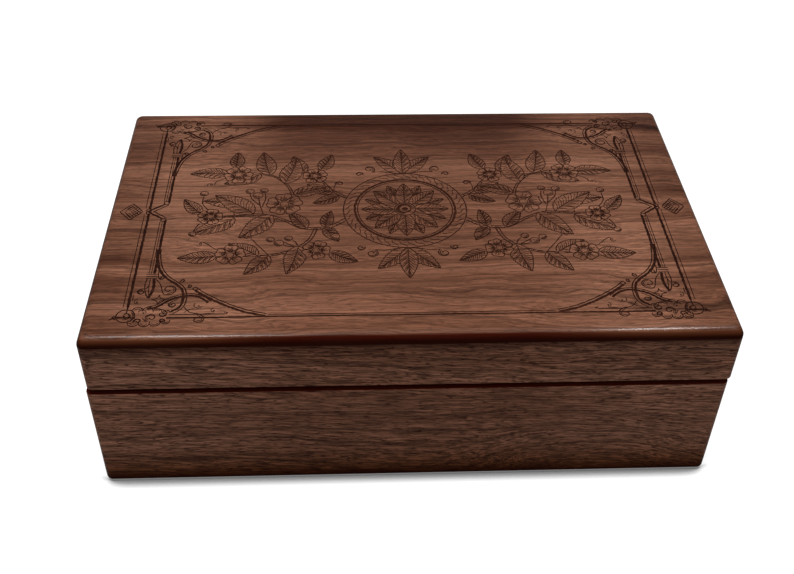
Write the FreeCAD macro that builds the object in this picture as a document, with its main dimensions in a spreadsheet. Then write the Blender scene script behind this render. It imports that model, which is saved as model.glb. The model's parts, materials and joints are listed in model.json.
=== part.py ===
import FreeCAD, Part
import Sketcher
import math
import os
import re

# A wooden box with a hinged lid, in millimetres.
# The origin is the centre of the underside, X runs to the right, Y to the back and Z up.
# Four mitred walls stand round a rabbeted bottom and hold a cross-lapped set of dividers.
# Four mitred rails and a rabbeted top panel make the lid, which turns on two brass butt hinges.
# The knuckles lie in a V that is cut along the back, and the two faces of the V stop the lid.

# Driving dimensions
SIZES = {
    # Wooden case
    "box_width": 292.0,
    "box_depth": 184.0,
    "base_height": 63.2,
    "wall_thickness": 12.0,
    "corner_round": 3.0,
    "shadow_height": 2.6,
    "shadow_depth": 3.0,
    "rim_ease": 0.3,
    "foot_round": 2.5,
    # Bottom board, let into a rabbet along the foot of the walls
    "bottom_thickness": 5.0,
    "bottom_lap": 6.0,
    "board_clearance": 0.1,
    # Lid
    "lid_rail_height": 25.5,
    "lid_lower_ease": 0.6,
    "lid_side_shift": 0.7,
    "panel_edge_thickness": 4.8,
    "panel_edge_round": 4.5,
    "panel_field_depth": 3.2,
    # Dividers
    "compartment_columns": 4,
    "divider_thickness": 6.0,
    "divider_height": 50.0,
    "divider_seat": 3.0,
    "divider_clearance": 0.1,
    "divider_top_round": 1.5,
    # Hinges
    "hinge_from_end": 51.0,
    "hinge_length": 38.0,
    "hinge_inset": 3.0,
    "knuckle_radius": 2.4,
    "knuckle_gap": 0.2,
    "pin_radius": 1.1,
    "pin_clearance": 0.04,
    "pin_end_chamfer": 0.3,
    "leaf_thickness": 1.4,
    "leaf_depth": 8.0,
    "leaf_recess": 0.1,
    "seat_clearance": 0.2,
    "relief_clearance": 0.3,
    "lid_open_angle": 95.0,
    "stop_gap": 0.2,
    # Screws
    "screw_radius": 1.1,
    "screw_head_radius": 1.9,
    "screw_length": 9.5,
    "screw_point_length": 2.0,
    "screw_slot_width": 0.6,
    "screw_slot_depth": 0.5,
    "screw_pitch": 12.5,
    "screw_line": 5.2,
    "screw_hole_clearance": 0.05,
}

HINGE_KNUCKLES = 5
SCREWS_PER_LEAF = 3
NAMES_OF_SIDES = {-1: "left", 1: "right"}
TOLERANCE = 1e-4

# Places that follow from the driving dimensions, as expressions on their names
HALF_WIDTH = "box_width / 2"
HALF_DEPTH = "box_depth / 2"
INNER_HALF_WIDTH = "(box_width / 2 - wall_thickness)"
INNER_HALF_DEPTH = "(box_depth / 2 - wall_thickness)"
AXIS_FROM_CENTRE = "(box_depth / 2 - hinge_inset)"
HINGE_FROM_MIDDLE = "(box_width / 2 - hinge_from_end)"
BEVEL_ANGLE = "(lid_open_angle / 2)"
BEVEL_SET_BACK = f"(stop_gap / 2 / sin({BEVEL_ANGLE}))"
DIVIDER_PITCH = f"((2 * {INNER_HALF_WIDTH} + divider_thickness) / compartment_columns)"
FIRST_DIVIDER = f"(-{DIVIDER_PITCH} * (compartment_columns - 2) / 2)"
DIVIDER_SLOT = "(divider_thickness / 2 + divider_clearance)"
LEAF_TOP = "(-leaf_recess)"
LEAF_UNDERSIDE = "(-leaf_recess - leaf_thickness)"
KNUCKLE_PITCH = f"(hinge_length / {HINGE_KNUCKLES})"
SCREW_HEAD_HEIGHT = "(screw_head_radius - screw_radius)"

doc = FreeCAD.newDocument("hinged_box")
sheet = doc.addObject("Spreadsheet::Sheet", "Sizes")
for row, (alias, value) in enumerate(SIZES.items(), 1):
    sheet.set(f"A{row}", alias)
    sheet.set(f"B{row}", str(value))
    sheet.setAlias(f"B{row}", alias)
doc.recompute()


def on_sheet(expression):
    """Point each size's name in an expression at its cell."""
    def cell(word):
        name = word.group()
        return f"Sizes.{name}" if name in SIZES else name
    return re.sub(r"[A-Za-z_]\w*", cell, expression)


def number(expression):
    """The present value of an expression on the sheet's names."""
    return float(sheet.evalExpression(on_sheet(expression)))


def bind(thing, prop, expression):
    """Tie a property of an object to the sheet."""
    thing.setExpression(prop, on_sheet(expression))


def new_body(label, x="0", y="0", z="0", turn=0.0, about=(0, 0, 1)):
    """A body whose own origin stands at a place worked out from the sheet."""
    body = doc.addObject("PartDesign::Body", label)
    body.Label = label
    body.Placement.Rotation = FreeCAD.Rotation(FreeCAD.Vector(*about), turn)
    for axis, place in (("x", x), ("y", y), ("z", z)):
        bind(body, f"Placement.Base.{axis}", place)
    return body


def origin_feature(body, role):
    """One of the body's own origin planes or axes."""
    return next(feature for feature in body.Origin.OriginFeatures if feature.Role == role)


def new_sketch(body, role, x="0", y="0", z="0"):
    """A sketch on an origin plane of the body, moved in the plane's own directions."""
    sketch = body.newObject("Sketcher::SketchObject", "Sketch")
    sketch.AttachmentSupport = (origin_feature(body, role), [""])
    sketch.MapMode = "FlatFace"
    for axis, place in (("x", x), ("y", y), ("z", z)):
        bind(sketch, f"AttachmentOffset.Base.{axis}", place)
    return sketch


def tie(sketch, kind, place, first, *rest):
    """Add a dimension to the sketch and bind it to the sheet."""
    index = sketch.addConstraint(Sketcher.Constraint(kind, first, *rest, number(place)))
    bind(sketch, f"Constraints[{index}]", place)


def pin_point(sketch, line, end, x, y):
    """Fix a point of the sketch at a place given by two expressions."""
    for kind, place, axis in (("DistanceX", x, -2), ("DistanceY", y, -1)):
        if place == "0":
            sketch.addConstraint(Sketcher.Constraint("PointOnObject", line, end, axis))
        else:
            tie(sketch, kind, place, -1, 1, line, end)


def draw_line(sketch, start, finish):
    """Add a straight line between two places and return its number."""
    ends = [FreeCAD.Vector(number(x), number(y), 0) for x, y in (start, finish)]
    return sketch.addGeometry(Part.LineSegment(*ends), False)


def draw_polygon(sketch, corners):
    """Add a closed outline of straight lines, each corner fixed by two expressions."""
    following = corners[1:] + corners[:1]
    lines = [draw_line(sketch, here, there) for here, there in zip(corners, following)]
    for line, after in zip(lines, lines[1:] + lines[:1]):
        sketch.addConstraint(Sketcher.Constraint("Coincident", line, 2, after, 1))
    for line, (x, y) in zip(lines, corners):
        pin_point(sketch, line, 1, x, y)


def draw_rectangle(sketch, left, right, low, high):
    """Add a rectangle between two pairs of expressions."""
    draw_polygon(sketch, [(left, low), (right, low), (right, high), (left, high)])


def draw_circle(sketch, x, y, radius):
    """Add a circle whose centre and radius are fixed by expressions."""
    centre = FreeCAD.Vector(number(x), number(y), 0)
    circle = Part.Circle(centre, FreeCAD.Vector(0, 0, 1), number(radius))
    index = sketch.addGeometry(circle, False)
    pin_point(sketch, index, 3, x, y)
    tie(sketch, "Radius", radius, index)


def pad(body, sketch, length, both_ways=False, downward=False):
    """Raise a sketch to a solid."""
    feature = body.newObject("PartDesign::Pad", "Pad")
    feature.Profile = sketch
    bind(feature, "Length", length)
    feature.SideType = "Symmetric" if both_ways else "One side"
    feature.Reversed = downward
    return feature


def pocket(body, sketch, depth=None, both_ways=False, along_normal=False):
    """Cut a sketch out of the body, to a depth or right through."""
    feature = body.newObject("PartDesign::Pocket", "Pocket")
    feature.Profile = sketch
    feature.SideType = "Symmetric" if both_ways else "One side"
    feature.Reversed = along_normal
    if depth is None:
        feature.Type = "ThroughAll"
    else:
        bind(feature, "Length", depth)
    return feature


def row_of(body, feature, length, count):
    """Repeat a feature along X and make the row the body's tip."""
    pattern = body.newObject("PartDesign::LinearPattern", "Row")
    pattern.Originals = [feature]
    pattern.Direction = (origin_feature(body, "X_Axis"), [""])
    bind(pattern, "Length", length)
    bind(pattern, "Occurrences", count)
    body.Tip = pattern
    return pattern


def round_edges(body, radius, wanted):
    """Round the edges of the body's present shape that the test picks."""
    doc.recompute()
    base = body.Tip
    names = [f"Edge{n}" for n, edge in enumerate(base.Shape.Edges, 1) if wanted(edge)]
    feature = body.newObject("PartDesign::Fillet", "Fillet")
    feature.Base = (base, names)
    bind(feature, "Radius", radius)
    return feature


def at_level(edge, height):
    """Whether an edge lies wholly at one height of its body."""
    return all(abs(vertex.Z - height) < TOLERANCE for vertex in edge.Vertexes)


def mitred_piece(label, turn, reach, half_run, height, z="0", x="0"):
    """A straight wall between two mitres, drawn with its outer face towards -Y and then turned.

    Each end carries half of the case's rounded corner, as far as the mitre.
    """
    body = new_body(label, x=x, z=z, turn=turn)
    sketch = new_sketch(body, "XY_Plane")
    run = f"({half_run} - corner_round)"
    arc_line = f"(corner_round - {reach})"
    inner_run = f"({half_run} - wall_thickness)"
    inner_line = f"(wall_thickness - {reach})"
    outer = draw_line(sketch, (f"-{run}", f"-{reach}"), (run, f"-{reach}"))
    inner = draw_line(sketch, (inner_run, inner_line), (f"-{inner_run}", inner_line))
    for end, sign, start_angle in ((2, "", -90), (1, "-", -135)):
        centre = FreeCAD.Vector(number(sign + run), number(arc_line), 0)
        circle = Part.Circle(centre, FreeCAD.Vector(0, 0, 1), number("corner_round"))
        angles = [math.radians(angle) for angle in (start_angle, start_angle + 45)]
        corner = sketch.addGeometry(Part.ArcOfCircle(circle, *angles), False)
        tip = sketch.getPoint(corner, end)
        foot = sketch.getPoint(inner, 3 - end)
        mitre = sketch.addGeometry(Part.LineSegment(tip, foot), False)
        pin_point(sketch, outer, end, sign + run, f"-{reach}")
        pin_point(sketch, inner, 3 - end, sign + inner_run, inner_line)
        pin_point(sketch, corner, 3, sign + run, arc_line)
        sketch.addConstraint(Sketcher.Constraint("Coincident", outer, end, corner, 3 - end))
        sketch.addConstraint(Sketcher.Constraint("Coincident", corner, end, mitre, 1))
        sketch.addConstraint(Sketcher.Constraint("Coincident", mitre, 2, inner, 3 - end))
        sketch.addConstraint(Sketcher.Constraint("PointOnObject", corner, 3, mitre))
    pad(body, sketch, height)
    return body


def round_outer_edge(body, reach, level, radius):
    """Round a mitred piece's outer edge at one level, corners included."""
    outer_face = -number(reach)

    def wanted(edge):
        on_outside = edge.BoundBox.YMax < outer_face + TOLERANCE
        return at_level(edge, number(level)) and (on_outside or isinstance(edge.Curve, Part.Circle))
    round_edges(body, radius, wanted)


def cut_stop_bevel(body, role, back, seam, fall):
    """Cut the body's share of the V along the back, which the lid opens against.

    back is the sign of the sketch's direction towards the back of the box, and fall
    is -1 where the bevel drops away from the seam and 1 where it rises.
    """
    sketch = new_sketch(body, role)
    apex = f"{back} * ({AXIS_FROM_CENTRE} - {BEVEL_SET_BACK})"
    past = f"{back} * ({HALF_DEPTH} + hinge_inset)"
    slope = f"(2 * hinge_inset + {BEVEL_SET_BACK}) * tan({BEVEL_ANGLE})"
    clear = f"{seam} - {fall} * wall_thickness"
    corners = [(apex, seam), (past, f"{seam} + {fall} * {slope}"), (past, clear), (apex, clear)]
    draw_polygon(sketch, corners)
    pocket(body, sketch, both_ways=True)


def cut_hinge_seats(body, seam, into, shift):
    """Cut the seats of both hinges into the back piece of the base or lid.

    The piece is drawn with its outer face towards -Y. into is -1 where the wood lies
    below the seam and 1 where it lies above, and shift is the lid's own offset.
    """
    upward = into > 0
    for side in NAMES_OF_SIDES:
        centre = f"({shift} + {side} * {HINGE_FROM_MIDDLE})"
        half_seat = "(hinge_length / 2 + seat_clearance)"
        leaf_end = f"(leaf_depth + seat_clearance - {AXIS_FROM_CENTRE})"
        mortise = new_sketch(body, "XY_Plane", x=centre, z=seam)
        draw_rectangle(mortise, f"-{half_seat}", half_seat, f"-{AXIS_FROM_CENTRE}", leaf_end)
        pocket(body, mortise, depth="leaf_recess + leaf_thickness", along_normal=upward)

        relief = new_sketch(body, "YZ_Plane", z=centre)
        draw_circle(relief, f"-{AXIS_FROM_CENTRE}", seam, "knuckle_radius + relief_clearance")
        pocket(body, relief, depth=f"2 * {half_seat}", both_ways=True)

        pilots = new_sketch(body, "XY_Plane", x=centre, z=seam)
        for place in range(SCREWS_PER_LEAF):
            along = f"screw_pitch * ({place} - {(SCREWS_PER_LEAF - 1) / 2})"
            across = f"screw_line - {AXIS_FROM_CENTRE}"
            draw_circle(pilots, along, across, "screw_radius + screw_hole_clearance")
        pilot_depth = "leaf_recess + screw_length + seat_clearance"
        pocket(body, pilots, depth=pilot_depth, along_normal=upward)


def cut_divider_seat(body, reach, first, count):
    """Cut the stopped grooves that hold the ends of the dividers."""
    sketch = new_sketch(body, "XZ_Plane", x=first, z=f"{reach} - wall_thickness")
    top = "bottom_thickness + divider_height + divider_clearance"
    draw_rectangle(sketch, f"-{DIVIDER_SLOT}", DIVIDER_SLOT, "bottom_thickness", top)
    seat = pocket(body, sketch, depth="divider_seat + divider_clearance", along_normal=True)
    if count != "1":
        row_of(body, seat, f"{DIVIDER_PITCH} * ({count} - 1)", count)


def cut_shadow_line(body, reach):
    """Cut the step under the lid that shows as a dark line round the box, and ease its edge."""
    step = new_sketch(body, "YZ_Plane")
    ledge = "base_height - shadow_height"
    draw_rectangle(step, f"-2 * {reach}", f"shadow_depth - {reach}", ledge, "2 * base_height")
    pocket(body, step, both_ways=True)
    round_outer_edge(body, reach, ledge, "rim_ease")


def base_wall(label, turn, reach, half_run, first_divider, divider_count, shadowed=True):
    """A wall of the base, with its rounded foot, bottom rabbet, divider seats and shadow line."""
    body = mitred_piece(label, turn, reach, half_run, "base_height")
    round_outer_edge(body, reach, "0", "foot_round")
    if shadowed:
        cut_shadow_line(body, reach)
    rabbet = new_sketch(body, "YZ_Plane")
    outer_side = f"wall_thickness - bottom_lap - {reach}"
    draw_rectangle(rabbet, outer_side, f"2 * wall_thickness - {reach}", "-bottom_thickness", "bottom_thickness")
    pocket(body, rabbet, both_ways=True)
    cut_divider_seat(body, reach, first_divider, divider_count)
    return body


def lid_rail(label, turn, reach, half_run):
    """A rail of the lid, with its lower outer edge eased."""
    body = mitred_piece(label, turn, reach, half_run, "lid_rail_height", z="base_height", x="lid_side_shift")
    round_outer_edge(body, reach, "0", "lid_lower_ease")
    return body


def build_base():
    """The base: four walls and the bottom board in its rabbet."""
    front_back = (HALF_DEPTH, HALF_WIDTH, FIRST_DIVIDER, "(compartment_columns - 1)")
    left_right = (HALF_WIDTH, HALF_DEPTH, "0", "1")
    walls = [base_wall("base_front_wall", 0, *front_back)]
    back = base_wall("base_back_wall", 180, *front_back, shadowed=False)
    left = base_wall("base_left_wall", -90, *left_right)
    right = base_wall("base_right_wall", 90, *left_right)
    cut_stop_bevel(back, "YZ_Plane", -1, "base_height", -1)
    cut_stop_bevel(left, "XZ_Plane", -1, "base_height", -1)
    cut_stop_bevel(right, "XZ_Plane", 1, "base_height", -1)
    cut_hinge_seats(back, "base_height", -1, "0")
    bottom = new_body("bottom_panel")
    outline = new_sketch(bottom, "XY_Plane")
    half_x = f"({INNER_HALF_WIDTH} + bottom_lap - board_clearance)"
    half_y = f"({INNER_HALF_DEPTH} + bottom_lap - board_clearance)"
    draw_rectangle(outline, f"-{half_x}", half_x, f"-{half_y}", half_y)
    pad(bottom, outline, "bottom_thickness")
    return walls + [back, left, right, bottom]


def build_lid():
    """The lid: four rails and the top panel, whose raised underside drops inside them."""
    front = lid_rail("lid_front_rail", 0, HALF_DEPTH, HALF_WIDTH)
    back = lid_rail("lid_back_rail", 180, HALF_DEPTH, HALF_WIDTH)
    left = lid_rail("lid_left_rail", -90, HALF_WIDTH, HALF_DEPTH)
    right = lid_rail("lid_right_rail", 90, HALF_WIDTH, HALF_DEPTH)
    cut_stop_bevel(back, "YZ_Plane", -1, "0", 1)
    cut_stop_bevel(left, "XZ_Plane", -1, "0", 1)
    cut_stop_bevel(right, "XZ_Plane", 1, "0", 1)
    cut_hinge_seats(back, "0", 1, "lid_side_shift")
    panel = new_body("lid_top_panel", x="lid_side_shift", z="base_height + lid_rail_height")
    slab = new_sketch(panel, "XY_Plane")
    draw_rectangle(slab, f"-{HALF_WIDTH}", HALF_WIDTH, f"-{HALF_DEPTH}", HALF_DEPTH)
    pad(panel, slab, "panel_edge_thickness")
    round_edges(panel, "panel_edge_round", lambda edge: at_level(edge, number("panel_edge_thickness")))

    def upright(edge):
        foot = min(vertex.Z for vertex in edge.Vertexes)
        return foot < TOLERANCE and not at_level(edge, 0)
    round_edges(panel, "corner_round", upright)
    field = new_sketch(panel, "XY_Plane")
    half_x = f"({INNER_HALF_WIDTH} - board_clearance)"
    half_y = f"({INNER_HALF_DEPTH} - board_clearance)"
    draw_rectangle(field, f"-{half_x}", half_x, f"-{half_y}", half_y)
    pad(panel, field, "panel_field_depth", downward=True)
    return [front, back, left, right, panel]


def divider_board(label, turn, half_length, x="0"):
    """A divider standing on the bottom board, with its top edges rounded."""
    body = new_body(label, x=x, z="bottom_thickness", turn=turn)
    outline = new_sketch(body, "XZ_Plane")
    draw_rectangle(outline, f"-{half_length}", half_length, "0", "divider_height")
    pad(body, outline, "divider_thickness", both_ways=True)
    half_run = number(half_length)

    def long_top_edge(edge):
        return at_level(edge, number("divider_height")) and edge.Length > half_run
    round_edges(body, "divider_top_round", long_top_edge)
    return body


def build_dividers():
    """One long divider and the cross dividers, halved over each other where they meet."""
    lap = "divider_height / 2"
    slot = (f"-{DIVIDER_SLOT}", DIVIDER_SLOT)
    seat = "(divider_seat - divider_clearance)"
    long_board = divider_board("long_divider", 0, f"({INNER_HALF_WIDTH} + {seat})")
    notch = new_sketch(long_board, "XZ_Plane", x=FIRST_DIVIDER)
    draw_rectangle(notch, *slot, f"{lap} - divider_clearance", "2 * divider_height")
    cut = pocket(long_board, notch, both_ways=True)
    row_of(long_board, cut, f"{DIVIDER_PITCH} * (compartment_columns - 2)", "compartment_columns - 1")
    boards = [long_board]
    for place in range(int(SIZES["compartment_columns"]) - 1):
        x = f"{FIRST_DIVIDER} + {place} * {DIVIDER_PITCH}"
        board = divider_board(f"cross_divider_{place + 1}", 90, f"({INNER_HALF_DEPTH} + {seat})", x)
        notch = new_sketch(board, "XZ_Plane")
        draw_rectangle(notch, *slot, "-divider_height", lap)
        pocket(board, notch, both_ways=True)
        boards.append(board)
    return boards


def hinge_leaf(label, side, turn, own_knuckles):
    """One leaf of a butt hinge, drawn as the lower leaf with the pin's axis along X.

    The plate runs forward from the knuckles, and is cut back where the other leaf's
    knuckles turn. The upper leaf is the same drawing turned over about Y.
    """
    x = f"{side} * {HINGE_FROM_MIDDLE}"
    body = new_body(label, x=x, y=AXIS_FROM_CENTRE, z="base_height", turn=turn, about=(0, 1, 0))
    plate = new_sketch(body, "YZ_Plane")
    draw_rectangle(plate, "-leaf_depth", "0", LEAF_UNDERSIDE, LEAF_TOP)
    pad(body, plate, "hinge_length", both_ways=True)
    barrel = new_sketch(body, "YZ_Plane")
    draw_circle(barrel, "0", "0", "knuckle_radius")
    pad(body, barrel, "hinge_length", both_ways=True)
    bore = new_sketch(body, "YZ_Plane")
    draw_circle(bore, "0", "0", "pin_radius + pin_clearance")
    pocket(body, bore, both_ways=True)

    gaps = new_sketch(body, "XY_Plane")
    reach = "(knuckle_radius + relief_clearance)"
    for knuckle in set(range(HINGE_KNUCKLES)) - set(own_knuckles):
        low = f"{KNUCKLE_PITCH} * ({knuckle} - {HINGE_KNUCKLES / 2}) - knuckle_gap / 2"
        high = f"{KNUCKLE_PITCH} * ({knuckle + 1} - {HINGE_KNUCKLES / 2}) + knuckle_gap / 2"
        draw_rectangle(gaps, low, high, f"-{reach}", reach)
    pocket(body, gaps, both_ways=True)

    first = f"-screw_pitch * {(SCREWS_PER_LEAF - 1) / 2}"
    hole = new_sketch(body, "XZ_Plane", x=first, z="screw_line")
    bore_radius = "(screw_radius + screw_hole_clearance)"
    head_radius = "(screw_head_radius + screw_hole_clearance)"
    section = [("0", LEAF_TOP), (head_radius, LEAF_TOP), (bore_radius, f"{LEAF_TOP} - {SCREW_HEAD_HEIGHT}")]
    section += [(bore_radius, f"2 * {LEAF_UNDERSIDE}"), ("0", f"2 * {LEAF_UNDERSIDE}")]
    draw_polygon(hole, section)
    countersink = body.newObject("PartDesign::Groove", "Countersink")
    countersink.Profile = hole
    countersink.ReferenceAxis = (hole, ["V_Axis"])
    row_of(body, countersink, f"screw_pitch * {SCREWS_PER_LEAF - 1}", str(SCREWS_PER_LEAF))
    return body


def hinge_pin(label, side):
    """The pin of a hinge, with its ends chamfered."""
    body = new_body(label, x=f"{side} * {HINGE_FROM_MIDDLE}", y=AXIS_FROM_CENTRE, z="base_height")
    section = new_sketch(body, "YZ_Plane")
    draw_circle(section, "0", "0", "pin_radius")
    rod = pad(body, section, "hinge_length", both_ways=True)
    doc.recompute()
    rims = [f"Edge{n}" for n, edge in enumerate(rod.Shape.Edges, 1) if edge.isClosed()]
    chamfer = body.newObject("PartDesign::Chamfer", "Chamfer")
    chamfer.Base = (rod, rims)
    bind(chamfer, "Size", "pin_end_chamfer")
    return body


def screws(label, turn):
    """All the countersunk screws of the lower or upper leaves, as separate solids."""
    body = new_body(label, y=AXIS_FROM_CENTRE, z="base_height", turn=turn, about=(0, 1, 0))
    first = f"-{HINGE_FROM_MIDDLE} - screw_pitch * {(SCREWS_PER_LEAF - 1) / 2}"
    section = new_sketch(body, "XZ_Plane", x=first, z="screw_line")
    head_foot = f"{LEAF_TOP} - {SCREW_HEAD_HEIGHT}"
    end = f"{LEAF_TOP} - screw_length"
    corners = [("0", LEAF_TOP), ("screw_head_radius", LEAF_TOP), ("screw_radius", head_foot)]
    corners += [("screw_radius", f"{end} + screw_point_length"), ("0", end)]
    draw_polygon(section, corners)
    screw = body.newObject("PartDesign::Revolution", "Screw")
    screw.Profile = section
    screw.ReferenceAxis = (section, ["V_Axis"])
    slot = new_sketch(body, "XZ_Plane", x=first, z="screw_line")
    half_slot = "screw_slot_width / 2"
    draw_rectangle(slot, f"-{half_slot}", half_slot, f"{LEAF_TOP} - screw_slot_depth", "screw_slot_depth")
    cut = pocket(body, slot, depth="2 * screw_head_radius", both_ways=True)
    copies = body.newObject("PartDesign::MultiTransform", "Copies")
    copies.Originals = [screw, cut]
    steps = []
    for length, count in ((f"screw_pitch * {SCREWS_PER_LEAF - 1}", SCREWS_PER_LEAF), (f"2 * {HINGE_FROM_MIDDLE}", 2)):
        step = body.newObject("PartDesign::LinearPattern", "Step")
        step.Direction = (origin_feature(body, "X_Axis"), [""])
        step.Occurrences = count
        bind(step, "Length", length)
        steps.append(step)
    copies.Transformations = steps
    body.Tip = copies
    return body


def build_hinges():
    """Two butt hinges, each of two leaves and a pin, and the screws of all four leaves."""
    pieces = []
    lower = range(0, HINGE_KNUCKLES, 2)
    upper = range(1, HINGE_KNUCKLES, 2)
    for side, name in NAMES_OF_SIDES.items():
        pieces.append(hinge_leaf(f"hinge_{name}_base_leaf", side, 0, lower))
        pieces.append(hinge_leaf(f"hinge_{name}_lid_leaf", side, 180, upper))
        pieces.append(hinge_pin(f"hinge_{name}_pin", side))
    pieces.append(screws("base_hinge_screws", 0))
    pieces.append(screws("lid_hinge_screws", 180))
    return pieces


def check_features():
    """Stop if any feature failed, or if a cut took nothing away."""
    for item in doc.Objects:
        if "Invalid" in item.State or "Error" in item.State:
            raise RuntimeError(f"{item.Label} could not be made")
        if item.TypeId in ("PartDesign::Pocket", "PartDesign::Groove"):
            before = item.BaseFeature.Shape.Volume
            if item.Shape.Volume > before - TOLERANCE:
                raise RuntimeError(f"{item.Label} cuts nothing")


def check_piece(piece):
    """Stop if a finished piece is empty or broken, or isn't the solids that it should be."""
    shape = piece.Shape
    if shape.isNull() or not shape.isValid():
        raise RuntimeError(f"{piece.Label} is not a sound shape")
    expected = 2 * SCREWS_PER_LEAF if piece.Label.endswith("screws") else 1
    if len(shape.Solids) != expected:
        raise RuntimeError(f"{piece.Label} has {len(shape.Solids)} solids instead of {expected}")


pieces = build_base() + build_dividers() + build_lid() + build_hinges()
doc.recompute()
check_features()
for piece in pieces:
    check_piece(piece)
os.makedirs("parts", exist_ok=True)
for piece in pieces:
    piece.Shape.exportStep(f"parts/{piece.Label}.step")
print(f"{len(pieces)} pieces written")
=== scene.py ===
"""Finishes a hinged walnut box: its timber, its engraved lid and its brass hinges."""

import json
import math

import bpy
import numpy as np
from mathutils import Matrix, Vector
from mathutils.geometry import delaunay_2d_cdt

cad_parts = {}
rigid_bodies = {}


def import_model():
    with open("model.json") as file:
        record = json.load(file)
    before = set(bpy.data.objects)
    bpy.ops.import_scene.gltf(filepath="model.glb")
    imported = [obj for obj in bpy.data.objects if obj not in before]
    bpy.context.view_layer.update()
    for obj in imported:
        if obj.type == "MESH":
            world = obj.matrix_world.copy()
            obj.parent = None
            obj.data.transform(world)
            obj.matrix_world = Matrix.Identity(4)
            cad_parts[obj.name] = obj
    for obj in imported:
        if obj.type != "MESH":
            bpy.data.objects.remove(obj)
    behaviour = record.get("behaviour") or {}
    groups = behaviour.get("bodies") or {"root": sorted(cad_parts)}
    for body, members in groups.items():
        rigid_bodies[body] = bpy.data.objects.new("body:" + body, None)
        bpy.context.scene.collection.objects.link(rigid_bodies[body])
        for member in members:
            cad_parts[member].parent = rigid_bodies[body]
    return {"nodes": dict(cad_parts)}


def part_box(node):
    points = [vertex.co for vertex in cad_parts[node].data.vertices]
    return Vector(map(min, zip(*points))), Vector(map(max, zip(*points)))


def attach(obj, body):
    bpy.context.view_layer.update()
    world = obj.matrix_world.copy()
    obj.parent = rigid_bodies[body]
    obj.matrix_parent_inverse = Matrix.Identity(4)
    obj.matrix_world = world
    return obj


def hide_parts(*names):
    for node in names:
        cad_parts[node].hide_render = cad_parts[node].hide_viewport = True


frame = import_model()

bl_info = {
    "name": "Engraved walnut box",
    "version": (1, 0, 0),
    "blender": (4, 5, 0),
    "location": "3D View > Sidebar > Walnut box",
    "description": "Finishes a hinged walnut box with an engraved lid",
    "category": "Object",
}

MM = 0.001
FRONT = ["base_front_wall", "lid_front_rail"]
BACK = ["base_back_wall", "lid_back_rail"]
SIDES = ["base_left_wall", "base_right_wall", "lid_left_rail", "lid_right_rail"]
LONG_BOARDS = ["bottom_panel", "long_divider"]
CROSS_BOARDS = ["cross_divider_1", "cross_divider_2", "cross_divider_3"]
SCREWS = ["base_hinge_screws", "lid_hinge_screws"]

# The lid panel: points round each corner, rings down its rounded edge and how many of them
# shine in front, the gap round its raised underside, and the sharpest edge that looks smooth
CORNER_POINTS = 7
EDGE_RINGS = 10
SHOULDER_RINGS = 3
FIELD_GAP = 0.1 * MM
SHARPEST_SMOOTH = math.radians(35)

# How fast each layer of the timber's noise changes along and across the grain, per metre
DRIFT = (6, 26)
RIPPLE = (28, 40)
PATCHES = (6, 22)
VEILS = (9, 130)
STRANDS = (34, 760)
FIBRES = (60, 1700)
DRIFT_PUSH = 18 * MM

# The growth rings' own noise, and the offset and scale of the broad and the narrow dark lines
RING_NOISE = {"Scale": 90.0, "Detail": 5.0, "Roughness": 0.62}
LATE_WOOD = ((0.37, 130.0), (0.74, 420.0))

# How much the rings, the patches and the veils count in the figure, and where its colours lie
FIGURE_WEIGHTS = (0.38, 0.30, 0.20)
STREAK_AT, HEARTWOOD_AT, PALE_AT = 0.34, 0.48, 0.64
FINE_BUMP = 0.1 * MM

# The stage. The floor's size and the lamps' target are in metres, the film's width in millimetres
FLOOR_SIZE = 8
LAMP_TARGET = Vector((0, 0, 0.05))
FILM_WIDTH = 36

# Tints of the painted shade at the walls' foot and of the painted light on the front boards, darker in
# the middle and lighter at the ends, and the share of the inner boards' tint
FOOT_SHADE_TINT = (0.45, 0.3, 0.15, 1)
FRONT_LIGHT_TINTS = ((0.86, 0.89, 0.93, 1), (1.08, 1.17, 1.27, 1))
INSIDE_TINT = 0.55

# Where the painted light on a front board and on the lid's edge passes from middle to end, and how far
# in the step's painted shade fades
BOARD_LIT_ENDS = (40 * MM, 110 * MM)
RIM_LIT_ENDS = (45 * MM, 115 * MM)
STEP_REACH = (5.5 * MM, 7.5 * MM)


def paint(red, green, blue):
    """A linear colour from the 0 to 255 values of a colour picker."""
    parts = [value / 255 for value in (red, green, blue)]
    linear = [part / 12.92 if part <= 0.04045 else ((part + 0.055) / 1.055) ** 2.4 for part in parts]
    return (*linear, 1.0)


def colour(name, description, red, green, blue):
    """A colour that the sidebar shows."""
    return bpy.props.FloatVectorProperty(
        name=name, description=description, subtype="COLOR", size=4, min=0, max=1,
        default=paint(red, green, blue))


def number(name, description, default, **settings):
    """A number from zero up that the sidebar shows."""
    return bpy.props.FloatProperty(name=name, description=description, default=default, min=0, **settings)


def length(name, description, millimetres):
    """A length that the sidebar shows."""
    return number(name, description, millimetres * MM, unit="LENGTH", subtype="DISTANCE")


def share(name, description, default):
    """A share between none and all that the sidebar shows."""
    return number(name, description, default, max=1, subtype="FACTOR")


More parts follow.
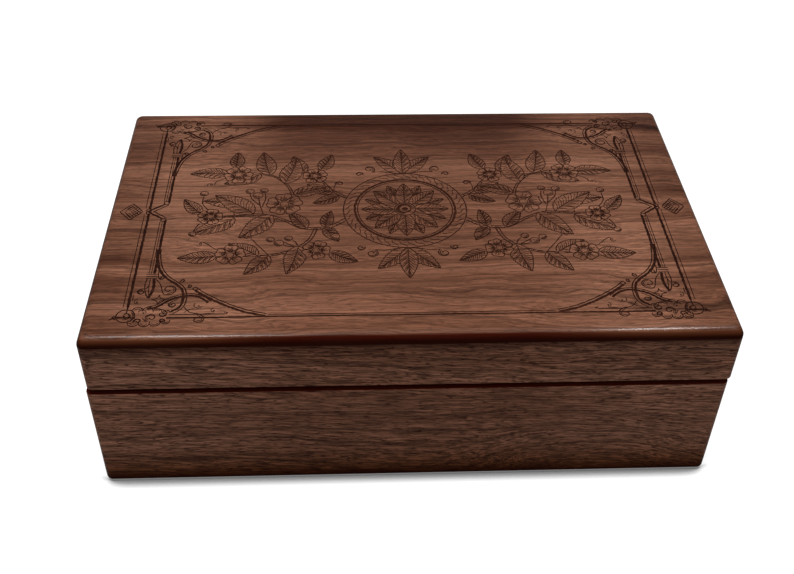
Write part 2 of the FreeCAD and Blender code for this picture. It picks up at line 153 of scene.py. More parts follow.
class WalnutSettings(bpy.types.PropertyGroup):
    """Colours and figure of the timber."""
    dark_streak: colour("Dark streak", "Heartwood streaks", 58, 29, 17)
    heartwood: colour("Heartwood", "The usual colour of the timber", 107, 70, 53)
    pale_band: colour("Pale band", "The palest growth bands", 142, 99, 78)
    # The rim stain also paints shade into the step under the lid
    rim_stain_and_step_shade: colour("Rim stain", "The darkened edge of the lid panel, at its middle", 50, 9, 2)
    # The rim end stain is paler with painted light, near the corners of the lid panel's edge
    rim_end_stain_lit: colour("Rim end stain", "The darkened edge near the corners", 72, 37, 20)
    # The edge stain darkens the pores and the foot of the lid panel's edge, and is the painted shade at the
    # foot of the walls and under the lid panel
    edge_stain_and_shade: colour("Edge stain", "The darkened foot of the walls and top of the rails", 27, 3, 1)
    board_tint: colour("Board tint", "The paler boards inside", 156, 112, 82)
    gloss: share("Gloss", "How polished the oiled surface is", 0.62)
    pore_length: length("Pore length", "Usual length of an open pore along the grain", 4.0)
    pore_width: length("Pore width", "Usual width of an open pore", 0.6)
    # The next two give how far the painted shade reaches up from the foot of the walls and down from the top
    # of the lid's rails
    foot_shade_reach: length("Foot stain", "How far the stain rises from the foot of the walls", 30.0)
    brow_shade_reach: length("Brow stain", "How far the stain falls from the top of the lid's rails", 6.0)
    # The next one is the height of the painted shade in the step under the lid
    step_height: length("Step height", "Height of the dark step under the lid", 2.6)


class EngravingSettings(bpy.types.PropertyGroup):
    """The drawing burnt into the lid."""
    depth: length("Depth", "How deep the lines are burnt", 0.35)
    heavy_line: length("Heavy line", "Width of the border's heavy lines", 1.25)
    plain_line: length("Plain line", "Width of an outline", 0.58)
    fine_line: length("Fine line", "Width of veins and shading", 0.4)
    raggedness: share("Raggedness", "How unevenly the edges of a line burn", 0.35)
    burnt: colour("Burnt wood", "The darkest colour at the bottom of a line", 34, 16, 10)
    scorched: colour("Scorched wood", "The colour of lightly burnt lines", 62, 33, 22)


class PanelSettings(bpy.types.PropertyGroup):
    """The edge of the lid panel."""
    edge_round: length("Edge rounding", "Radius of the rounded upper edge", 4.5)
    foot_corner: length("Corner rounding", "Radius of the corners at the foot of the edge", 3.0)
    top_corner: length("Upper corner rounding", "Radius of the corners where the flat begins", 1.3)
    field_ease: length("Field easing", "Small bevel round the raised underside", 0.4)


class BrassSettings(bpy.types.PropertyGroup):
    """The metal of the hinges."""
    clean: colour("Clean brass", "Brass where it is rubbed", 214, 176, 104)
    dull: colour("Dull brass", "Brass where it has tarnished", 150, 112, 58)


class StageSettings(bpy.types.PropertyGroup):
    """Floor, lamps and camera."""
    lens: number("Lens", "Focal length of the camera in millimetres", 48.19)
    camera_place: bpy.props.FloatVectorProperty(
        name="Camera place", description="Where the camera stands", subtype="TRANSLATION", size=3,
        default=(-0.02574, -0.42503, 0.40985))
    camera_turn: bpy.props.FloatVectorProperty(
        name="Camera turn", description="Turn to the right, tilt down and roll", subtype="EULER", size=3,
        default=(0.05477, 0.7124, 0.0223))
    sky: number("Sky", "Strength of the even light from all round", 0.23)
    left_power: number("Left lamp", "Power of the lamp above on the left, in watts", 4.2)
    right_power: number("Right lamp", "Power of the lamp above on the right, in watts", 3.0)
    front_power: number("Front lamp", "Power of the large lamp in front, in watts", 3.95)
    back_power: number("Back lamp", "Power of the low lamp behind, in watts", 1.2)
    floor_tone: colour("Floor", "Colour of the floor", 150, 150, 150)
    floor_glow: number("Floor glow", "How far the seen floor is lifted towards white", 0.9)
    contact_width: length("Contact shadow", "Width of the shadow where the box meets the floor", 10.0)


def add(tree, kind, values=None, **settings):
    """Add a shader node, set its options, and feed its sockets with values or links."""
    node = tree.nodes.new(kind)
    for option, value in settings.items():
        setattr(node, option, value)
    for socket, value in (values or {}).items():
        target = node.inputs[socket]
        if isinstance(value, bpy.types.NodeSocket):
            tree.links.new(value, target)
        else:
            target.default_value = value
    return node


def arithmetic(operation):
    """A function that adds a node for a sum on two values and returns its result."""
    def work_out(tree, first, second=0.0):
        return add(tree, "ShaderNodeMath", {0: first, 1: second}, operation=operation).outputs[0]
    return work_out


plus, minus, times = arithmetic("ADD"), arithmetic("SUBTRACT"), arithmetic("MULTIPLY")
larger, unsigned = arithmetic("MAXIMUM"), arithmetic("ABSOLUTE")


def stretched(tree, vector, along, across):
    """Coordinates that run at different rates along and across the grain."""
    values = {0: vector, 1: (along, across, across)}
    return add(tree, "ShaderNodeVectorMath", values, operation="MULTIPLY").outputs["Vector"]


def speckle(tree, vector, detail=2.0, roughness=0.5):
    """Noise on coordinates that are already stretched."""
    values = {"Vector": vector, "Scale": 1.0, "Detail": detail, "Roughness": roughness}
    return add(tree, "ShaderNodeTexNoise", values).outputs["Fac"]


def between(tree, value, low, high, to_low=0.0, to_high=1.0):
    """Spread a narrow range of a value over another range."""
    values = {"Value": value, "From Min": low, "From Max": high, "To Min": to_low, "To Max": to_high}
    return add(tree, "ShaderNodeMapRange", values, interpolation_type="SMOOTHSTEP").outputs["Result"]


def blend_colours(tree, amount, first, second, how="MIX"):
    """Mix two colours by an amount."""
    node = add(tree, "ShaderNodeMix", data_type="RGBA", blend_type=how)
    for socket, value in ((0, amount), (6, first), (7, second)):
        if isinstance(value, bpy.types.NodeSocket):
            tree.links.new(value, node.inputs[socket])
        else:
            node.inputs[socket].default_value = value
    return node.outputs[2]


def blank_material(name):
    """A new material with its tree, its main shader and object coordinates."""
    material = bpy.data.materials.new(name)
    material.use_nodes = True
    tree = material.node_tree
    coordinates = add(tree, "ShaderNodeTexCoord").outputs["Object"]
    return material, tree, tree.nodes["Principled BSDF"], coordinates


def raise_surface(tree, shader, height, strength, distance):
    """Give a shader a fine relief."""
    bump = add(tree, "ShaderNodeBump", {"Height": height, "Strength": strength, "Distance": distance})
    tree.links.new(bump.outputs["Normal"], shader.inputs["Normal"])


def stain_and_shade_rim(tree, base, place, wood, top):
    """Stain the lid panel's edge below a height, darkest at its foot, with painted shade at mid-side and
    painted light near the corners.
    """
    # Painted light near the corners: the stain sets in lower there and is paler
    corner = between(tree, unsigned(tree, place["X"]), *RIM_LIT_ENDS)
    height = plus(tree, place["Z"], times(tree, corner, 0.5 * MM))
    stained = between(tree, height, top - 1.0 * MM, top, 0.97, 0.0)
    foot = between(tree, height, top - 3.0 * MM, top - 0.3 * MM, 0.95, 0.0)
    stain = blend_colours(tree, corner, wood.rim_stain_and_step_shade, wood.rim_end_stain_lit)
    return blend_colours(tree, stained, base, blend_colours(tree, foot, stain, wood.edge_stain_and_shade))


def paint_case_shade(tree, base, place, wood, brow):
    """Paint shade at the foot of the walls and at the top of the lid's rails, under the lid panel."""
    # Painted shade towards the foot of the walls: a warm darkening, then a dark one
    foot_shade_warmth = between(tree, place["Z"], 0.0, wood.foot_shade_reach, 1.0, 0.0)
    base = blend_colours(tree, foot_shade_warmth, base, FOOT_SHADE_TINT, "MULTIPLY")
    foot = between(tree, place["Z"], 0.0, 0.4 * wood.foot_shade_reach, 0.9, 0.0)
    # Painted shade at the top of the lid's rails, under the lid panel
    top = between(tree, place["Z"], brow - wood.brow_shade_reach, brow + 0.4 * wood.brow_shade_reach, 0.0, 0.9)
    return blend_colours(tree, larger(tree, foot, top), base, wood.edge_stain_and_shade)


def paint_step_shade(tree, base, place, wood, low, high):
    """Paint shade into the step that is cut round the outside under the lid."""
    near, far = STEP_REACH
    side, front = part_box("base_right_wall")[1].x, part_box("base_front_wall")[0].y
    outside = larger(tree, between(tree, unsigned(tree, place["X"]), side - far, side - near),
                     between(tree, place["Y"], front + near, front + far, 1.0, 0.0))
    level = times(tree, between(tree, place["Z"], low - 0.25 * MM, low - 0.05 * MM),
                  between(tree, place["Z"], high - 0.3 * MM, high - 0.1 * MM, 0.97, 0.0))
    return blend_colours(tree, times(tree, level, outside), base, wood.rim_stain_and_step_shade)


def arch_up(tree, wander, place, centre, half_width, top, rise):
    """Lift the grain in an arch near the foot of a wall."""
    away = unsigned(tree, minus(tree, place["X"], centre))
    bulge = times(tree, between(tree, away, 0.0, half_width, rise, 0.0),
                  between(tree, place["Z"], 0.0, top, 1.0, 0.0))
    return minus(tree, wander, bulge)


def settle_figure(tree, figure, place, ring, back_shade):
    """The lid's figure, quiet in the middle and busy at the sides, with painted shade towards the back, and
    how busy it is.
    """
    aside = unsigned(tree, place["X"])
    middle, margin, edge = 50 * MM, 110 * MM, 138 * MM
    busy = between(tree, aside, middle, 120 * MM, 0.62, 1.15)
    figure = times(tree, minus(tree, figure, 0.5), busy)
    figure = plus(tree, figure, between(tree, aside, middle, 100 * MM, 0.455, 0.52))
    # Painted shade: the top darkens towards the back of the middle, and it also darkens a little at both
    # ends
    depth = times(tree, between(tree, ring, *back_shade, -0.02, 0.15),
                  between(tree, aside, middle, margin, 1.0, 0.3))
    depth = plus(tree, depth, between(tree, aside, margin, edge, 0.0, 0.07))
    return minus(tree, figure, depth), busy


def streaks(tree, grain, rates, detail, roughness=0.5, reach=1.0):
    """Noise that runs along the grain. reach draws it out."""
    along, across = rates
    return speckle(tree, stretched(tree, grain, along / reach, across), detail, roughness)


def walnut(name, wood, heart, turn=0.0, lean=0.0, pore_depth=0.3, contrast=1.0, bold=1.0, streak=0.4,
           reach=1.0, wave=2.5 * MM, arch=None, shine=0.01, polish=None, relief=0.35, tint=None,
           rim_from=None, back_shade=None, brow=None, step=None, ends=None):
    """Oiled walnut cut from a log.

    heart is a point on the log's centre line. The line runs along X, turned about Z and
    leaning about Y, and the growth rings lie round it. bold strengthens the broad
    figure, streak the dark lines and contrast the fine streaks, which reach lengthens.
    wave is how far the grain ripples. arch is the middle, the half width, the top and
    the rise of a place near the foot where the grain arches up. rim_from is the height
    below which the lid panel's edge is stained, with painted shade at mid-side and
    painted light near the corners. back_shade is a pair of distances from the log's
    centre between which painted shade darkens the top towards the back. brow is the
    height of the top of the lid's rails; where it is given, shade is painted on the
    case below it and at the foot of the walls. step is the pair of heights of the
    painted shade in the step under the lid. ends is a pair of tints, for a board's
    middle and for its ends, that paint light on it.
    """
    material, tree, shader, coordinates = blank_material(name)
    place = add(tree, "ShaderNodeSeparateXYZ", {"Vector": coordinates}).outputs
    placing = {"Vector": coordinates, "Location": heart, "Rotation": (0, lean, turn)}
    grain = add(tree, "ShaderNodeMapping", placing, vector_type="TEXTURE").outputs["Vector"]

    # Slow drifts along the log push its fibres and its growth rings about
    drift = times(tree, streaks(tree, grain, DRIFT, 3.0), DRIFT_PUSH)
    wander = plus(tree, drift, times(tree, streaks(tree, grain, RIPPLE, 2.0), wave))
    if arch is not None:
        wander = arch_up(tree, wander, place, *arch)
    push = add(tree, "ShaderNodeCombineXYZ", {"Y": wander, "Z": wander}).outputs["Vector"]
    grain = add(tree, "ShaderNodeVectorMath", {0: grain, 1: push}, operation="ADD").outputs["Vector"]
    cross_section = stretched(tree, grain, 0, 1)
    ring = add(tree, "ShaderNodeVectorMath", {0: cross_section}, operation="LENGTH").outputs["Value"]
    bands = add(tree, "ShaderNodeTexNoise", dict(RING_NOISE, W=ring), noise_dimensions="1D").outputs["Fac"]
    late_wood = []
    for offset, scale in LATE_WOOD:
        rates = {"W": plus(tree, ring, offset), "Scale": scale, "Detail": 3.0}
        late_wood.append(add(tree, "ShaderNodeTexNoise", rates, noise_dimensions="1D").outputs["Fac"])
    patches = streaks(tree, grain, PATCHES, 3.0)
    veils = streaks(tree, grain, VEILS, 4.0, 0.6, reach)
    strands = streaks(tree, grain, STRANDS, 3.0, 0.6, reach)
    fibres = streaks(tree, grain, FIBRES, 2.0, 0.5, reach)
    pores = streaks(tree, grain, (1 / wood.pore_length, 1 / wood.pore_width), 1.0)
    pores = between(tree, pores, 0.54, 0.66)

    # Colour: the broad figure, then dark lines and fine streaks, then the stains and the painted light and
    # shade
    figure = 0.5 - 0.5 * bold * sum(FIGURE_WEIGHTS)
    for layer, weight in zip((bands, patches, veils), FIGURE_WEIGHTS):
        figure = plus(tree, figure, times(tree, layer, bold * weight))
    busy = 1.0
    # Painted shade towards the back of the lid's top
    if back_shade is not None:
        figure, busy = settle_figure(tree, figure, place, ring, back_shade)
    ramp = add(tree, "ShaderNodeValToRGB", {"Fac": figure})
    ramp.color_ramp.elements[0].position = STREAK_AT
    ramp.color_ramp.elements[0].color = wood.dark_streak
    ramp.color_ramp.elements[1].position = PALE_AT
    ramp.color_ramp.elements[1].color = wood.pale_band
    ramp.color_ramp.elements.new(HEARTWOOD_AT).color = wood.heartwood
    base = ramp.outputs["Color"]
    if tint is not None:
        base = blend_colours(tree, INSIDE_TINT, base, tint)
    clusters = between(tree, patches, 0.40, 0.60, 1.0, 0.2)
    broad = times(tree, between(tree, late_wood[0], 0.60, 0.67, 0.0, streak), clusters)
    narrow = between(tree, late_wood[1], 0.52, 0.68, 0.0, 0.32)
    shade = times(tree, minus(tree, 1.0, times(tree, broad, busy)), minus(tree, 1.0, narrow))
    for layer, depth in ((strands, 0.22 * contrast), (fibres, 0.3 * contrast)):
        shade = times(tree, shade, between(tree, layer, 0.3, 0.7, 1 - depth, 1 + depth))
    grey = add(tree, "ShaderNodeCombineColor", {"Red": shade, "Green": shade, "Blue": shade})
    base = blend_colours(tree, 1.0, base, grey.outputs["Color"], "MULTIPLY")
    base = blend_colours(tree, times(tree, pores, pore_depth), base, wood.edge_stain_and_shade)
    # Painted light: a board lighter at its ends and darker in its middle
    if ends is not None:
        board_tint = blend_colours(tree, between(tree, unsigned(tree, place["X"]), *BOARD_LIT_ENDS), *ends)
        base = blend_colours(tree, 1.0, base, board_tint, "MULTIPLY")
    # The lid panel's edge: a stain, with painted shade at mid-side and painted light near the corners
    if rim_from is not None:
        base = stain_and_shade_rim(tree, base, place, wood, rim_from)
    # Painted shade at the foot of the case and under the lid panel
    if brow is not None:
        base = paint_case_shade(tree, base, place, wood, brow)
    # Painted shade in the step under the lid
    if step is not None:
        base = paint_step_shade(tree, base, place, wood, *step)
    tree.links.new(base, shader.inputs["Base Color"])

    # Gloss and relief
    gloss = wood.gloss if polish is None else polish
    rough = between(tree, patches, 0.2, 0.8, 0.42 - 0.3 * gloss, 0.50 - 0.3 * gloss)
    tree.links.new(rough, shader.inputs["Roughness"])
    shader.inputs["Specular IOR Level"].default_value = shine
    raise_surface(tree, shader, minus(tree, times(tree, fibres, 0.25), pores), relief, FINE_BUMP)
    return material


def burnt_wood(engraving):
    """The scorched bottom and sides of the engraved lines, paler towards the lid's middle."""
    material, tree, shader, coordinates = blank_material("burnt_lines")
    uneven = between(tree, streaks(tree, coordinates, (160, 420), 3.0), 0.45, 0.75, 0.0, 0.6)
    across = add(tree, "ShaderNodeSeparateXYZ", {"Vector": coordinates}).outputs["X"]
    middle = between(tree, unsigned(tree, across), 80 * MM, 115 * MM, 0.4, 0.0)
    base = blend_colours(tree, plus(tree, uneven, middle), engraving.burnt, engraving.scorched)
    tree.links.new(base, shader.inputs["Base Color"])
    shader.inputs["Roughness"].default_value = 0.9
    shader.inputs["Specular IOR Level"].default_value = 0.03
    char = streaks(tree, coordinates, (2500, 2500), 2.0)
    raise_surface(tree, shader, char, 0.6, FINE_BUMP)
    return material


def drawn_brass(brass):
    """Drawn brass, rubbed bright and dulled in patches."""
    material, tree, shader, coordinates = blank_material("drawn_brass")
    patches = streaks(tree, coordinates, (160, 160), 4.0, 0.6)
    lines = streaks(tree, coordinates, (120, 6000), 2.0)
    base = blend_colours(tree, between(tree, patches, 0.35, 0.72), brass.clean, brass.dull)
    tree.links.new(base, shader.inputs["Base Color"])
    shader.inputs["Metallic"].default_value = 1.0
    tree.links.new(between(tree, lines, 0.2, 0.8, 0.24, 0.44), shader.inputs["Roughness"])
    raise_surface(tree, shader, lines, 0.25, FINE_BUMP / 2)
    return material


def finish(nodes, material):
    """Give frame pieces one material."""
    for name in nodes:
        slots = frame["nodes"][name].data.materials
        slots.clear()
        slots.append(material)


def through(points, spacing=1.0):
    """A smooth line through given points, in millimetres."""
    points = [np.array(point, float) for point in points]
    ends = [2 * points[0] - points[1]] + points + [2 * points[-1] - points[-2]]
    line = []
    for before, start, stop, after in zip(ends, ends[1:], ends[2:], ends[3:]):
        count = max(2, int(np.linalg.norm(stop - start) / spacing))
        for step in range(count):
            t = step / count
            line.append(0.5 * (2 * start + (stop - before) * t
                               + (2 * before - 5 * start + 4 * stop - after) * t ** 2
                               + (3 * start - before - 3 * stop + after) * t ** 3))
    line.append(points[-1])
    return np.array(line)


def ray(heading):
    """A step of one along a heading in degrees."""
    return np.array([math.cos(math.radians(heading)), math.sin(math.radians(heading))])


def arc(centre, radius, start, sweep, inner=None):
    """An arc in degrees, which winds in to a smaller radius where one is given."""
    inner = radius if inner is None else inner
    count = max(5, int(abs(math.radians(sweep)) * max(radius, inner) / 0.9) + 3)
    t = np.linspace(0, 1, count)
    angles = np.radians(start + sweep * t)
    radii = radius + (inner - radius) * t
    return np.array(centre) + np.stack([radii * np.cos(angles), radii * np.sin(angles)], axis=1)


def sideways(line):
    """The direction to the left of a line at each of its points."""
    run = np.gradient(line, axis=0)
    run /= np.linalg.norm(run, axis=1)[:, None]
    return np.stack([-run[:, 1], run[:, 0]], axis=1)


def beside(line, distance):
    """The line moved sideways to its left."""
    return line + distance * sideways(line)


def within(points, outline):
    """Which points lie inside a closed outline."""
    low, high = outline.min(axis=0), outline.max(axis=0)
    found = np.all((points > low) & (points < high), axis=1)
    if found.any():
        x, y = points.T
        before, after = outline[:, :, None], np.roll(outline, -1, axis=0)[:, :, None]
        rise = after[:, 1] - before[:, 1]
        rise[rise == 0] = 1e-9
        crossing = before[:, 0] + (after[:, 0] - before[:, 0]) * (y - before[:, 1]) / rise
        straddles = (before[:, 1] > y) != (after[:, 1] > y)
        found &= np.sum(straddles & (x < crossing), axis=0) % 2 == 1
    return found


class Drawing:
    """Lines of an engraving, kept as closed outlines in millimetres.

    What is drawn first lies in front, and covers what is drawn later.
    """

    def __init__(self, engraving):
        self.outlines = []
        self.covers = []
        self.heavy = engraving.heavy_line / MM
        self.plain = engraving.plain_line / MM
        self.fine = engraving.fine_line / MM
        self.ragged = engraving.raggedness
        self.mirrors = [(1, 1)]

    def keep(self, outline):
        """Keep an outline and its mirror images, all running anticlockwise."""
        for mirror in self.mirrors:
            image = outline * np.array(mirror)
            after = np.roll(image, -1, axis=0)
            area = np.sum(image[:, 0] * after[:, 1] - after[:, 0] * image[:, 1])
            self.outlines.append(image if area > 0 else image[::-1])

    def cover(self, outline):
        """Hide what is drawn later inside a closed outline."""
        self.covers += [outline * np.array(mirror) for mirror in self.mirrors]

    def shown(self, line):
        """The stretches of a line that nothing in front covers."""
        hidden = np.zeros(len(line), bool)
        for outline in self.covers:
            hidden |= within(line, outline)
        changes = np.flatnonzero(np.diff(np.concatenate([[True], hidden, [True]]).astype(int)))
        return [line[start:stop] for start, stop in zip(changes[::2], changes[1::2]) if stop - start > 1]

    def stroke(self, line, width, swell=0.0):
        """A pen line with slightly ragged edges. With a swell, it narrows towards both ends."""
        for part in self.shown(line):
            t = np.linspace(0, 1, len(part))
            half = width / 2 * (1 - swell + swell * np.sin(np.pi * t))
            side = sideways(part)
            wave = np.sin(part @ (2.9, 1.7)) * np.sin(part @ (-1.3, 3.7))
            other = np.sin(part @ (2.1, -2.6)) * np.sin(part @ (1.9, 3.1))
            left = part + side * (half * (1 + self.ragged * wave))[:, None]
            right = part - side * (half * (1 + self.ragged * other))[:, None]
            self.keep(np.concatenate([left, right[::-1]]))

    def rule(self, start, stop, width):
        """A straight line with a point every millimetre and a half for its ragged edge."""
        start, stop = np.array(start, float), np.array(stop, float)
        count = max(2, int(np.linalg.norm(stop - start) / 1.5) + 1)
        self.stroke(np.linspace(start, stop, count), width)

    def hatch(self, first, second, width, every=1):
        """Short lines across from one line to another."""
        for start, stop in list(zip(first, second))[::every]:
            self.stroke(np.linspace(start, stop, 2), width)

    def dot(self, centre, radius):
        """A round spot."""
        if len(self.shown(np.array([centre, centre], float))):
            self.keep(arc(centre, radius, 0, 315))

    def ring(self, centre, radius, width):
        """A circle, as two strokes that overlap a little."""
        for start in (0, 180):
            self.stroke(arc(centre, radius, start, 184), width)

    def strap(self, line, breadth, shaded=1):
        """A strap with a heavy line down its shaded side and a plain one down the other."""
        self.stroke(beside(line, -shaded * breadth / 2), self.heavy)
        self.stroke(beside(line, shaded * breadth / 2), self.plain)

    def scroll(self, centre, radius, start, sweep, lead=()):
        """A stem that curls up to a spot, with a fine line inside the curl."""
        curl = arc(centre, radius, start, sweep, inner=radius * 0.3)
        stem = np.concatenate([through(list(lead) + [curl[0]])[:-1], curl]) if lead else curl
        self.stroke(stem, self.plain, swell=0.3)
        self.stroke(arc(centre, radius * 0.72, start, sweep * 0.5, inner=radius * 0.5), self.fine)
        self.dot(curl[-1], self.plain * 0.9)

    def leaf(self, foot, heading, size, breadth, bend=0.0, veins=7):
        """A pointed, toothed leaf with a midrib, side veins and one half hatched."""
        count = 6 * veins
        steps = np.linspace(0, 1, count + 1)
        along, aside = ray(heading), ray(heading + 90)
        path = np.array(foot) + size * (along * steps[:, None] + aside * bend * steps[:, None] ** 2)
        teeth = 0.86 + 0.2 * ((steps * veins * 2 + 0.01) % 1)
        teeth[-1] = 1
        spread = breadth / 2 * np.sin(np.pi * steps ** 0.75) ** 0.85 * teeth
        edges = [path + side * sideways(path) * spread[:, None] for side in (1, -1)]
        self.stroke(path[::2], self.plain, swell=0.4)
        for side, edge in enumerate(edges):
            self.stroke(edge, self.plain * 0.9)
            for root in range(3, count - 6, 3 - side):
                vein = (root - 3) % 6 == 0
                tip = min(count, root + 6)
                reach = 0.95 if vein else (0.74, 0.62, 0.82)[root % 3]
                end = path[tip] + reach * (edge[tip] - path[tip])
                middle = path[root] + 0.5 * (end - path[root]) + 0.03 * size * along
                line = np.array([path[root], middle, end]) if vein else np.linspace(path[root], end, 2)
                self.stroke(line, self.fine * (1.0 if vein else 0.85))
        self.cover(np.concatenate([edges[0], edges[1][::-1]]))

    def blossom(self, centre, size, petals=5, turn=0.0):
        """An open flower: notched petals with rays, round a beaded middle."""
        centre = np.array(centre, float)
        inner, half = size * 0.24, 180 / petals
        places = ((0.3, -0.5), (0.55, -0.86), (0.82, -0.9), (0.98, -0.5), (0.92, 0), (1.0, 0.5), (0.84, 0.9),
                  (0.57, 0.86), (0.3, 0.5))
        rims = []
        for petal in range(petals):
            heading = turn + 2 * half * petal
            rim = through([centre + reach * size * ray(heading + half * aside)
                           for reach, aside in places], 0.7)
            rims.append(rim)
            self.stroke(rim, self.plain * 0.9)
            for aside, reach in ((-0.6, 0.55), (-0.36, 0.72), (-0.12, 0.6), (0.12, 0.8), (0.36, 0.62),
                                 (0.6, 0.5)):
                step = ray(heading + half * aside)
                start, stop = centre + inner * 1.25 * step, centre + reach * size * step
                self.stroke(np.linspace(start, stop, 2), self.fine)
        self.ring(centre, inner, self.plain * 0.8)
        for bead in range(6):
            self.dot(centre + inner * 0.52 * ray(60 * bead + turn), self.fine * 0.55)
        self.cover(np.concatenate(rims))

    def berry(self, centre, radius, lit=130):
        """A round berry with a shaded side and the spot where the flower was."""
        centre = np.array(centre, float)
        self.ring(centre, radius, self.plain * 0.8)
        for inset in (0.72, 0.46):
            self.stroke(arc(centre, radius * inset, lit + 110, 140), self.fine)
        self.dot(centre + 0.35 * radius * ray(lit), self.fine * 0.7)
        self.cover(arc(centre, radius, 0, 345))

    def branch(self, points, breadth=1.3, tapering=0.4):
        """A woody stem that thins towards its tip, hatched along its shaded side."""
        line = through(points, 1.0)
        half = breadth / 2 * np.linspace(1, tapering, len(line))[:, None]
        side = sideways(line)
        self.stroke(line + half * side, self.plain)
        self.stroke(line - half * side, self.plain)
        self.hatch(line - half * side, line + 0.25 * half * side, self.fine * 0.8, every=2)


def draw_corner(pen):
    """One corner of the border: crossing straps, scrolls, a star and a roundel on a foot rail."""
    # Roundel at the outer corner, with the spike of the foot rail
    pen.ring((126.4, 76.4), 4.1, pen.plain)
    pen.scroll((126.2, 76.3), 2.6, 60, 330)
    pen.hatch(arc((126.4, 76.4), 4.1, 120, 110), arc((126.4, 76.4), 3, 120, 110), pen.fine)
    pen.stroke(through([(133.2, 79), (131.4, 77.6), (128, 77.4), (121.8, 77.8)]), pen.heavy * 0.7)
    pen.stroke(through([(131, 76.2), (132, 77.4), (130.4, 78.9)]), pen.plain)
    pen.rule((126.1, 70.6), (126.2, 74.6), pen.plain)
    # Leafage between the roundel and the foot rail
    for row in (
            ((119.6, 74.4), 2.9, 170, 360, [(123.4, 71.2), (120.4, 71)]),
            ((120.6, 79.8), 2, 30, -350, [(124.6, 81.4), (122.8, 80.8)]),
            ((115, 77.6), 2.8, 60, -380, [(118.8, 77.6), (117.6, 79.6)]),
            ((110.4, 75.4), 2.1, 210, -360, [(113.4, 73), (110.6, 72.4)]),
            ((110.2, 79.8), 1.6, 150, 360, [])):
        pen.scroll(*row)
    for x, y, radius in ((122.4, 80.6, 2.5), (117.6, 81, 2.4), (113, 80.8, 2.3), (108.6, 79.8, 2)):
        pen.stroke(arc((x, y), radius, 200, -215), pen.plain, swell=0.3)
        pen.stroke(arc((x, y), radius * 0.6, 160, -150), pen.fine)
    for x, y, radius in ((121.6, 73, 2.2), (117, 72.6, 2), (112.8, 73.6, 1.9), (108.8, 74.6, 1.7)):
        pen.stroke(arc((x, y), radius, 170, 205), pen.plain, swell=0.3)
        pen.stroke(arc((x, y), radius * 0.55, 200, 150), pen.fine)
    # Two straps that cross, and the brace from the foot rail
    pen.strap(through([(117.4, 30), (116.6, 37), (114.6, 44.6), (111, 50.4), (106.6, 54.4), (103.4, 58),
            (101.9, 62.4), (101.7, 67.4), (103, 71.6), (106.4, 74.6)]), 1.5, shaded=1)
    pen.strap(through([(117.6, 71.4), (113.6, 70), (110.4, 67), (107, 64.6), (102.6, 63), (98, 62.8),
            (93.8, 64.6), (90.4, 67.8)]), 1.4, shaded=1)
    pen.strap(through([(97, 59.2), (93.6, 62.2), (87.6, 66.6), (81, 70.6), (73.6, 74.2),
            (65, 76.8)]), 1.6, shaded=1)
    pen.ring((97.6, 58.6), 1.1, pen.plain)
    pen.scroll((104.4, 53), 1.5, 250, -330)
    pen.scroll((100.4, 56.6), 1.3, 40, 330)
    # Scrolls in the openings
    for row in (
            ((109.4, 58.9), 3.7, 75, 400, [(116.2, 51.6), (113.6, 55.6), (111.8, 61.6)]),
            ((95.4, 69.6), 3.2, 160, -400, [(101, 74.4), (98.6, 72.6)]),
            ((121.6, 60.4), 2.2, 250, 390, [(118.6, 55), (119.6, 58)]),
            ((88, 72.9), 2.2, 100, -370, [(92.2, 75.6), (90.2, 75.4)]),
            ((106.6, 69.4), 2, 320, 370, [(104.6, 65.6), (106.2, 66.6)]),
            ((122.4, 66.6), 2.5, 110, -390, [(124.8, 62.4), (124.6, 66.6), (123.4, 69.4)]),
            ((82.4, 74.8), 1.3, 120, -340, [(85.4, 75.6), (84, 76)]),
            ((113.6, 50.4), 1.6, 20, 360, [(115.6, 46), (115.4, 49)])):
        pen.scroll(*row)
    hook = [(101.4, 71), (98.6, 74.4), (94.6, 75.6), (92.2, 77.6), (92.4, 80.2), (94.6, 81.2), (96.4, 79.8),
            (95.4, 78.4)]
    pen.stroke(through(hook), pen.plain * 1.1, swell=0.3)
    pen.stroke(beside(through(hook[2:6]), -0.9), pen.fine)
    # Star with hollow sides
    for tilt in range(4):
        corners = [np.array((113.2, 65.8)) + 3.2 * ray(90 * (tilt + side)) for side in (0, 1)]
        hollow = np.array((113.2, 65.8)) + 1.2 * ray(90 * tilt + 45)
        pen.stroke(through([corners[0], hollow, corners[1]]), pen.plain * 0.8)
    # Collar and hanging foot of the inner rule
    for height in (48, 49.6, 51):
        pen.rule((121, height), (115.8, height), pen.plain)
    pen.stroke(through([(120.2, 51.4), (120.7, 55.6), (119.6, 61.6), (118, 64.6)]), pen.plain)
    pen.stroke(through([(118.8, 51.4), (118.7, 57), (118.1, 62.6)]), pen.fine)
    pen.stroke(through([(117, 51.4), (116.5, 56), (117, 61), (118, 64.6)]), pen.heavy)
    # Foot rail
    pen.rule((107.5, 75.9), (83.4, 75.9), pen.plain)
    pen.rule((108.5, 78), (66, 78), pen.heavy * 0.9)


